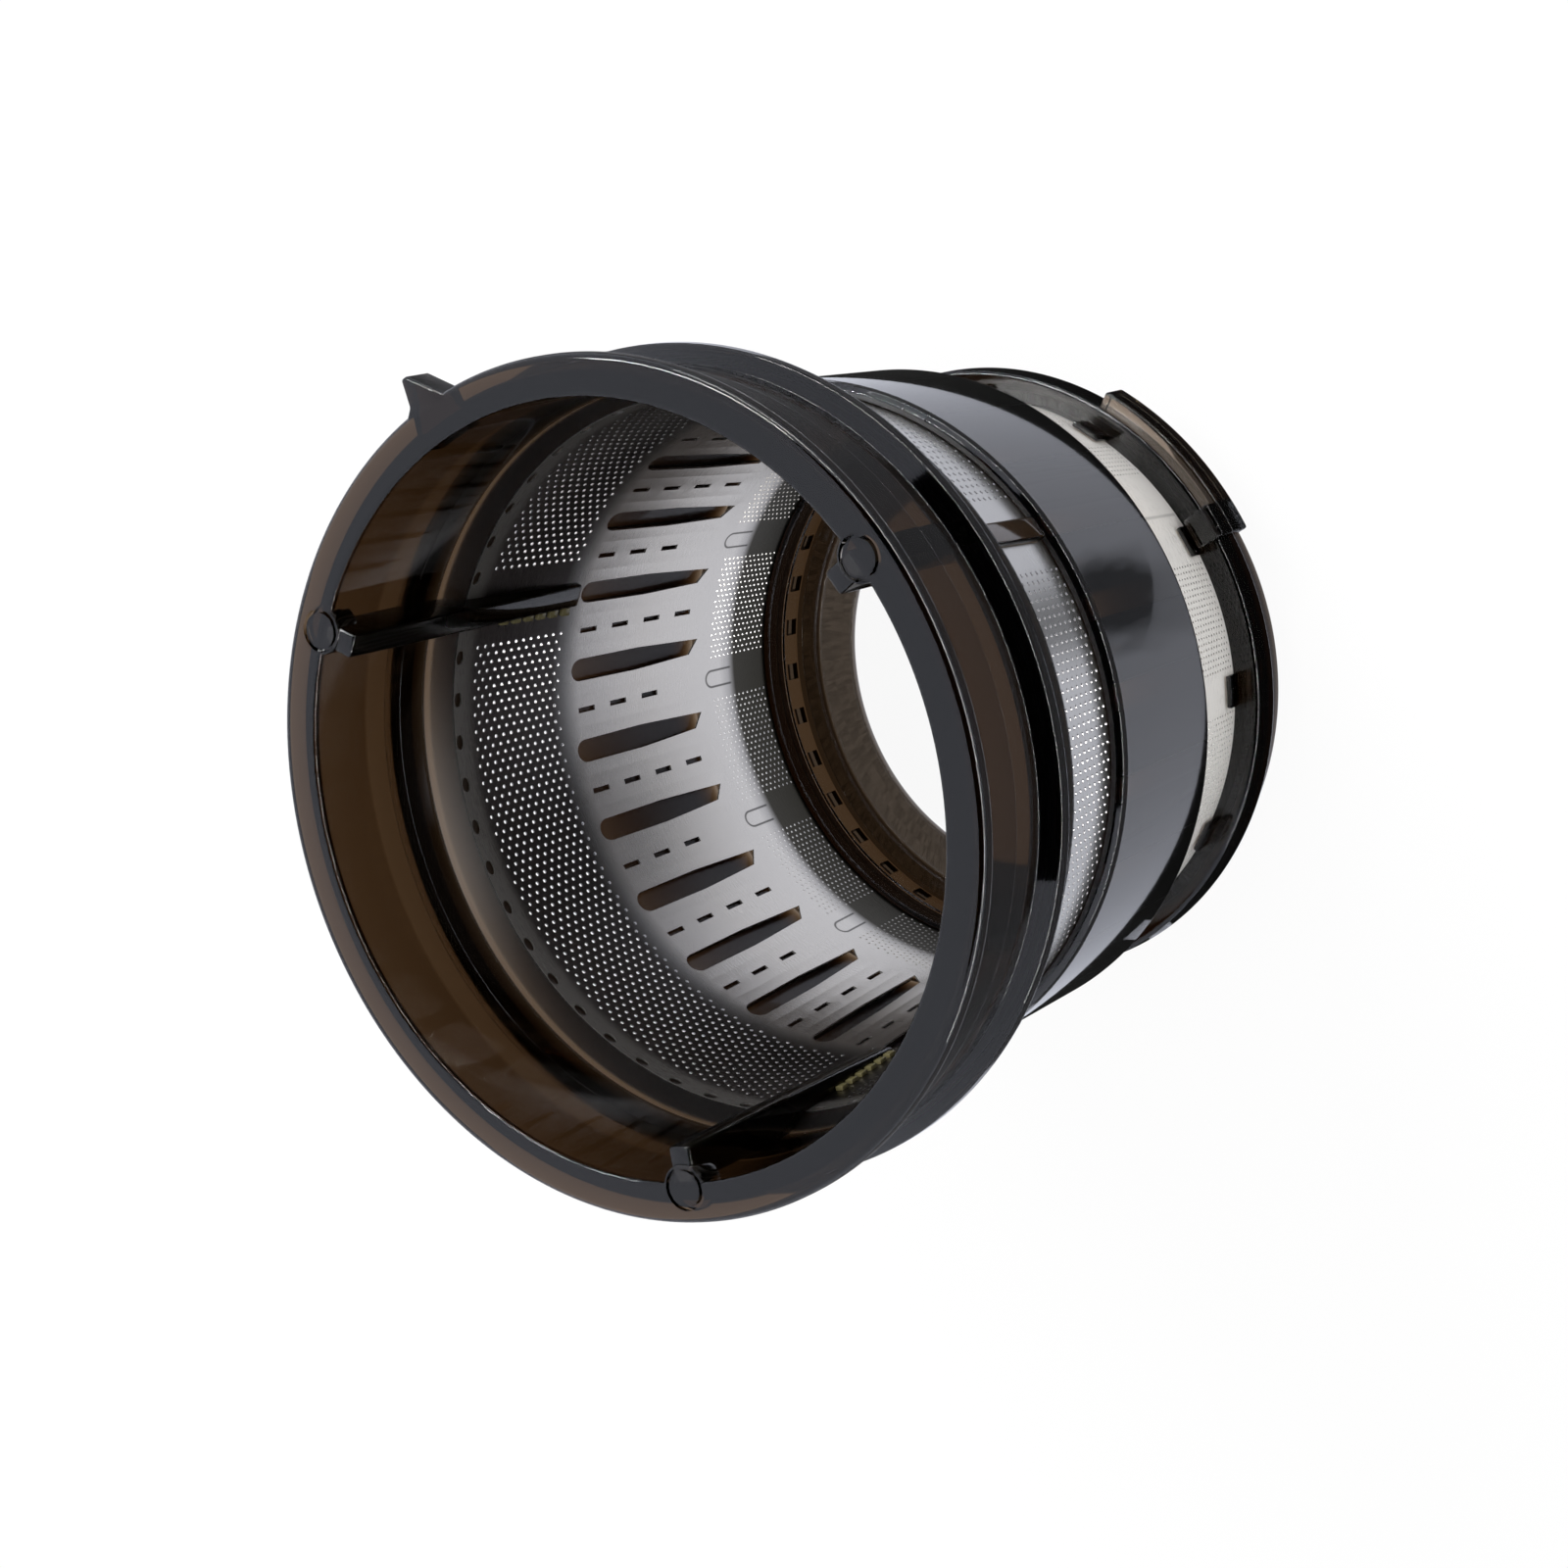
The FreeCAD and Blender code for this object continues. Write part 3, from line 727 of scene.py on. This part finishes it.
rim = {"neck": [
    (51.0, 0.0, 0.45), (56.5, 0.0, 0.9), (56.5, 2.4, 0.5), (53.9, 2.8, 0.5), (53.9, 11.5, 0.2),
    (53.5, 11.9, 0.2), (53.5, 15.4, 0.02), (50.6, 17.0, 0.02)],
    "collar": [
    (50.6, 16.98, 0.02), (53.5, 15.38, 0.02), (53.5, 17.0, 0.3), (55.7, 19.1, 0.5), (55.7, 21.1, 0.5),
    (53.6, 21.1, 0.5), (51.4, 23.6, 0.6), (51.4, 29.0, 0.4), (48.1, 29.0, 0.05), (48.46, 25.76, 0.1),
    (50.5, 21.5, 0.9)],
    "band": [(46.1, 46.0, 0.1), (48.0, 46.0, 1.5), (46.6, 70.6, 0.8), (42.35, 76.2, 0.1)],
    "plate": [(46.2, 0.3), (51.2, 0.3), (51.2, 17.0), (49.5, 26.6), (47.3, 46.02), (46.3, 46.02),
              (45.5, 47.9), (44.9, 47.2)],
    "fin": [(53.0, 1.6), (53.0, -4.9), (55.8, -4.9), (60.9, -0.5), (60.9, 0.5), (57.2, 1.3), (56.3, 2.4),
            (54.0, 3.4)],
    "plateWidth": 3.4, "boss": (51.8, 3.3, 4.0), "mark": (2.95, 2.45, 0.8), "finAngle": 81.0, "finDepth": 4.6,
    "bossUnder": 0.002, "finUnder": 0.003, "bossEdge": 0.3, "finEdge": 0.35, "ribEdge": 0.45, "pegEdge": 0.12,
    "ribs": (0, 120, 240), "pegs": (33.6, 2.35, 6), "pegSize": (1.5, 1.25), "pegLift": (-0.02, 0.6),
    "pegGap": 0.05}


def circle(centre, radius, sides=48):
    # A plan outline about a point on the x axis.
    a = np.arange(sides) * tau / sides
    return np.stack([centre + radius * np.cos(a), radius * np.sin(a)], -1)


def neckPiece():
    # Turned rim and neck with the bosses and the fin.
    r = rim
    neck = roundedRing("neck", r["neck"])
    centre, radius, deep = r["boss"]
    discs = [(circle(centre, radius), a) for a in r["ribs"]]
    bosses = prism("bosses", discs, height - deep, height - r["bossUnder"], "plan")
    softEdges(bosses, r["bossEdge"], segments=2)
    outline = [(r["fin"], r["finAngle"])]
    fin = prism("fin", outline, height - r["finDepth"], height - r["finUnder"], "plan")
    softEdges(fin, r["finEdge"])
    joined(neck, [bosses, fin], "UNION")
    wide, narrow, depth = r["mark"]
    joined(neck, [turnedMark("mark", centre, wide, narrow, depth, a) for a in r["ribs"]], "DIFFERENCE")
    return finished(neck, clearPlastic, "rim_frame")


def collarPiece():
    # Turned flange and socket, thick enough to look black.
    collar = roundedRing("collar", rim["collar"])
    joined(collar, [sleeveRoom("room")], "DIFFERENCE")
    return finished(collar, collarPlastic, "rim_frame")


def ribsPiece():
    # Three plates. The steel's room parts each rib from its post.
    r = rim
    half = r["plateWidth"] / 2
    ribs = prism("ribs", [(r["plate"], a) for a in r["ribs"]], -half, half, "side")
    softEdges(ribs, r["ribEdge"])
    joined(ribs, [sleeveRoom("room")], "DIFFERENCE")
    return finished(ribs, ribPlastic, "rim_frame")


def bandPiece():
    # Turned band, cut by the steel's room and by a groove behind each slot.
    band = roundedRing("band", rim["band"])
    joined(band, [sleeveRoom("room"), slotGrooves()], "DIFFERENCE")
    return finished(band, bandPlastic, "rim_frame")


def pegsPiece():
    # Small heads of plastic that came through the steel beside each rib.
    r = rim
    first, step, count = r["pegs"]
    long, wide = r["pegSize"]
    points = []
    faces = []
    ring = np.array([[-1, -1], [1, -1], [1, 1], [-1, 1]]) / 2
    for angle in r["ribs"]:
        for k in range(count):
            depth = first + k * step
            radius = float(coneInside(depth))
            place = angle + math.degrees((r["plateWidth"] / 2 + wide / 2 + r["pegGap"]) / radius)
            az = np.radians(place + np.degrees(ring[:, 0] * wide / radius))
            de = depth + ring[:, 1] * long
            start = sum(len(p) for p in points)
            for lift in r["pegLift"]:
                out = coneInside(de) - lift
                points.append(np.stack([out * np.cos(az), out * np.sin(az), height - de], -1))
            faces += (gridFaces(2, 4, False, True) + start).tolist()
            faces += [[start + 3, start + 2, start + 1, start], [start + 4, start + 5, start + 6, start + 7]]
    pegs = tidyNormals(newPiece("pegs", np.concatenate(points), faces))
    softEdges(pegs, r["pegEdge"], segments=2)
    return finished(pegs, pegPlastic, "rim_frame")


def turnedMark(name, centre, wide, narrow, depth, angle, sides=64, above=0.2):
    # A thin round groove in a boss: a small square profile carried round the boss's own axis.
    a = np.arange(sides) * tau / sides
    top, foot = height + above, height - depth
    profile = np.array([[narrow, top], [wide, top], [wide, foot], [narrow, foot]])
    x = centre + profile[None, :, 0] * np.cos(a)[:, None]
    y = profile[None, :, 0] * np.sin(a)[:, None]
    z = np.broadcast_to(profile[None, :, 1], x.shape)
    c, s = math.cos(math.radians(angle)), math.sin(math.radians(angle))
    points = np.stack([x * c - y * s, x * s + y * c, z], -1).reshape(-1, 3)
    return tidyNormals(newPiece(name, points, gridFaces(sides, len(profile), True, True)))


def spaced(count, first):
    # Even angles round the axis.
    return first + np.arange(count) * 360 / count


def slotGrooves():
    # Room in the band behind each slot, following the cone.
    s = slotBand
    top, foot = s["top"], s["top"] + s["length"]
    near, far = -s["grooveIn"], cone["sheet"] + s["grooveDeep"]
    profile = [[coneInside(top) + near, top], [coneInside(top) + far, top],
               [coneInside(foot) + far, foot], [coneInside(foot) + near, foot]]
    return turnedSectors("grooves", profile, spaced(s["count"], 0.0), s["grooveSweep"])


base = {"profile": [
    (31.4, 99.5, 0.3), (41.7, 99.5, 0.7), (41.7, 93.1, 0.3), (44.4, 93.1, 0.5), (44.4, 88.32, 0.5),
    (39.6, 88.32, 0.15), (39.6, 91.9, 0.1), (39.35, 92.0, 0.1), (39.3, 96.5, 0.1), (39.7, 96.6, 0.1),
    (39.7, 97.1, 0.1), (37.2, 97.1, 0.3), (37.2, 98.3, 0.3), (31.4, 98.3, 0.3)],
    "lug": [(43.9, 93.1), (46.8, 93.1), (46.8, 88.82), (43.9, 88.82)], "lugMiddle": 7.3, "lugSweep": 34.0,
    "stop": [(42.2, 93.09), (46.79, 93.09), (46.79, 86.1), (42.2, 86.1)], "stopSweep": 6.0, "stopIn": 0.02,
    "tabs": (12, 22.5), "tabTop": 84.8, "tabFoot": 88.9, "tabSweep": 6.2, "tabThick": 0.8,
    "recesses": (36, 5.0), "recess": (38.6, 40.15, 93.0, 94.9), "recessSweep": 3.5,
    "lugEdge": 0.4, "stopEdge": 0.35, "tabEdge": 0.2}


def baseRingPiece():
    # Turned foot and flange with a lug, its stop, twelve tabs on the steel and a row of recesses inside.
    b = base
    foot = roundedRing("baseRing", b["profile"])
    lug = turnedSectors("lug", b["lug"], [b["lugMiddle"]], b["lugSweep"], steps=33)
    softEdges(lug, b["lugEdge"])
    stopMiddle = b["lugMiddle"] - b["lugSweep"] / 2 + b["stopSweep"] / 2 + b["stopIn"]
    stop = turnedSectors("stop", b["stop"], [stopMiddle], b["stopSweep"], steps=7)
    softEdges(stop, b["stopEdge"])
    top, low = b["tabTop"], b["tabFoot"]
    inner = cone["sheet"] + cone["fit"]
    outer = inner + b["tabThick"]
    tabs = turnedSectors("tabs", [(coneInside(top) + inner, top), (coneInside(top) + outer, top),
                                  (coneInside(low) + outer, low), (coneInside(low) + inner, low)],
                         spaced(*b["tabs"]), b["tabSweep"], steps=7)
    softEdges(tabs, b["tabEdge"], segments=2)
    joined(foot, [stop, tabs], "UNION")
    near, far, high, deep = b["recess"]
    recesses = turnedSectors("recesses", [(near, high), (far, high), (far, deep), (near, deep)],
                             spaced(*b["recesses"]), b["recessSweep"])
    joined(foot, [recesses], "DIFFERENCE")
    finished(lug, lugPlastic, "base_ring")
    return finished(foot, footPlastic, "base_ring")


neckPiece()
collarPiece()
ribsPiece()
bandPiece()
pegsPiece()
baseRingPiece()
print("scene: plastic mouldings ready")

studio = {"floor": 3.0, "floorTone": (0.86, 0.86, 0.86, 1), "floorWhite": 0.92, "worldSoft": 0.9,
          "lens": 90.0, "cardLift": 0.2, "patchMargin": 1.4, "patchNoise": 110.0,
          "steps": 97, "eye": (304.5, -114.796, 479.142), "turn": (-13.8853, 35.8956, -42.5603),
          "cool": (0.85, 0.88, 1.0, 1), "white": (1, 1, 1, 1)}


def seenWhite(tree, wire):
    # 1 for what the camera, a reflection or a look through clear plastic meets directly.
    path = tree.nodes.new("ShaderNodeLightPath")
    glossy = wire.out(path, "Is Glossy Ray")
    total = wire.out(path, "Is Camera Ray") + glossy + wire.out(path, "Is Transmission Ray")
    return wire.maths("MINIMUM", total, 1.0), glossy.blend(studio["white"], studio["cool"])


def studioFloor():
    # A pale floor that keeps the shadow, and is white where it is seen directly.
    size = studio["floor"] / mm / 2
    corners = [[-size, -size, 0], [size, -size, 0], [size, size, 0], [-size, size, 0]]
    floor = newPiece("floor", corners, [[0, 1, 2, 3]])
    material, tree, shader, wire = newMaterial("paleFloor")
    shader.inputs["Base Color"].default_value = studio["floorTone"]
    shader.inputs["Roughness"].default_value = 0.8
    share, tone = seenWhite(tree, wire)
    glow = tree.nodes.new("ShaderNodeEmission")
    tree.links.new(tone.socket, glow.inputs["Color"])
    mix = tree.nodes.new("ShaderNodeMixShader")
    tree.links.new((share * studio["floorWhite"]).socket, mix.inputs[0])
    tree.links.new(shader.outputs[0], mix.inputs[1])
    tree.links.new(glow.outputs[0], mix.inputs[2])
    tree.links.new(mix.outputs[0], tree.nodes["Material Output"].inputs["Surface"])
    floor.data.materials.append(material)


def studioWorld():
    # An even white room, a little softer as a light than as it is seen.
    world = bpy.data.worlds.new("softStudio")
    scene.world = world
    world.use_nodes = True
    tree = world.node_tree
    wire = Wire(tree, None)
    ground = tree.nodes["Background"]
    share, tone = seenWhite(tree, wire)
    tree.links.new(tone.socket, ground.inputs["Color"])
    level = share * (1 - studio["worldSoft"]) + studio["worldSoft"]
    tree.links.new(level.socket, ground.inputs["Strength"])


def facing(thing, place, aim):
    # Puts a lamp or card at a place and turns it to the aim.
    thing.location = place
    thing.rotation_euler = (Vector(aim) - Vector(place)).to_track_quat("-Z", "Y").to_euler()
    return thing


def softbox(name, place, size, power, mirrored, aim=(0, 0, 0.05)):
    # An even rectangle of light, with or without a reflection of its own.
    light = bpy.data.lights.new(name, "AREA")
    light.shape = "RECTANGLE"
    light.size, light.size_y = size
    light.energy = power
    lamp = bpy.data.objects.new(name, light)
    lamp.visible_glossy = mirrored
    scene.collection.objects.link(lamp)
    facing(lamp, place, aim)


def card(name, points, faces, tone, glow=0.0):
    # A studio card that only reflections meet.
    piece = newPiece(name, points, faces)
    material, tree, shader, wire = newMaterial(name)
    shader.inputs["Base Color"].default_value = (*tone, 1)
    shader.inputs["Roughness"].default_value = 1.0
    shader.inputs["Specular IOR Level"].default_value = 0.0
    shader.inputs["Emission Color"].default_value = (1, 1, 1, 1)
    shader.inputs["Emission Strength"].default_value = glow
    piece.data.materials.append(material)
    for kind in ("camera", "diffuse", "transmission", "shadow", "volume_scatter"):
        setattr(piece, "visible_" + kind, False)
    return piece, tree, shader, wire


def darkFlag(name, place, aim, size):
    # A flat black card that faces the aim.
    x, y = size[0] / mm / 2, size[1] / mm / 2
    corners = [[-x, -y, 0], [x, -y, 0], [x, y, 0], [-x, y, 0]]
    facing(card(name, corners, [[0, 1, 2, 3]], (0.01, 0.01, 0.01))[0], place, aim)


def ribbonCard(name, radius, level, angle, tone, glow=0.0):
    # Two edges (radius, level) carried round the axis over the angles, with faces between them.
    radius, level = np.array(radius)[:, None] / mm, np.array(level)[:, None]
    a = np.radians(angle)
    z = np.broadcast_to(level, (2, len(a)))
    points = np.stack([radius * np.cos(a), radius * np.sin(a), z], -1).reshape(-1, 3)
    card(name, points, gridFaces(2, len(a), False, False), tone, glow)


def lightArc(name, radius, low, high, start, sweep, glow):
    # A standing strip bent round the object.
    angle = start + np.linspace(0, sweep, studio["steps"])
    ribbonCard(name, (radius, radius), (low / mm, high / mm), angle, (0.8, 0.8, 0.8), glow)


def floorCard(name, inner, outer, tone):
    # A flat ring just above the floor.
    lift = studio["cardLift"]
    ribbonCard(name, (inner, outer), (lift, lift), np.linspace(0, 360, studio["steps"]), tone)


def softShadowPatch(name, middle, reach, ragged, edge, strength=1.0):
    # Painted shadow on the floor, seen only in reflections: a dark blot with a soft edge, from the distance
    # to its middle and some noise.
    margin, lift = studio["patchMargin"], studio["cardLift"]
    x, y = reach[0] / mm * margin, reach[1] / mm * margin
    corners = np.array([[-x, -y, lift], [x, -y, lift], [x, y, lift], [-x, y, lift]])
    corners = corners + [middle[0] / mm, middle[1] / mm, 0]
    _, tree, shader, wire = card(name, corners, [[0, 1, 2, 3]], (0.02, 0.02, 0.02))
    place = wire.out(tree.nodes.new("ShaderNodeTexCoord"), "Object")
    apart = wire.node("ShaderNodeSeparateXYZ", None, Vector=place)
    u = (wire.out(apart, 0) - middle[0]) / reach[0]
    v = (wire.out(apart, 1) - middle[1]) / reach[1]
    scale = studio["patchNoise"]
    noise = wire.out(wire.node("ShaderNodeTexNoise", None, Vector=place, Scale=scale, Detail=3.0))
    far = wire.maths("SQRT", u * u + v * v) + (noise - 0.5) * ragged
    tree.links.new(((1 - far.between(*edge)) * strength).socket, shader.inputs["Alpha"])


studioFloor()
studioWorld()
softbox("backStrip", (0.15, 0.75, 0.85), size=(0.8, 0.1), power=8.0, mirrored=True)
softbox("sideBox", (0.85, -0.35, 0.35), size=(0.9, 0.08), power=6.0, mirrored=False)
# Painted contact shadow on the floor round the foot, seen only in reflections.
floorCard("footShadowCard", inner=0.0446, outer=0.060, tone=(0.02, 0.02, 0.02))
floorCard("neckCard", inner=0.096, outer=0.23, tone=(0.15, 0.15, 0.16))
# Painted shadow seen only in reflections: under the outlet, and beside the band where the object's shadow
# would lie.
softShadowPatch("outletShadowCard", (0.026, 0.0), reach=(0.026, 0.04), ragged=0.0, edge=(0.4, 1.0))
softShadowPatch("patchShadowCard", (0.074, -0.016), reach=(0.024, 0.017), ragged=0.8, edge=(0.5, 1.0), strength=0.85)
darkFlag("cameraFlag", (0.84, -0.317, 1.215), (0, 0, 0.06), size=(2.6, 2.0))
lightArc("edgeLight", radius=1.0, low=0.10, high=0.23, start=-95.0, sweep=165.0, glow=11.0)

lens = bpy.data.cameras.new("camera")
lens.lens = studio["lens"]
lens.sensor_width = 36.0
lens.clip_start = 0.01
camera = bpy.data.objects.new("camera", lens)
scene.collection.objects.link(camera)
camera.location = [v * mm for v in studio["eye"]]
camera.rotation_euler = Euler([math.radians(v) for v in studio["turn"]], "XYZ")
scene.camera = camera
print("scene: studio ready")
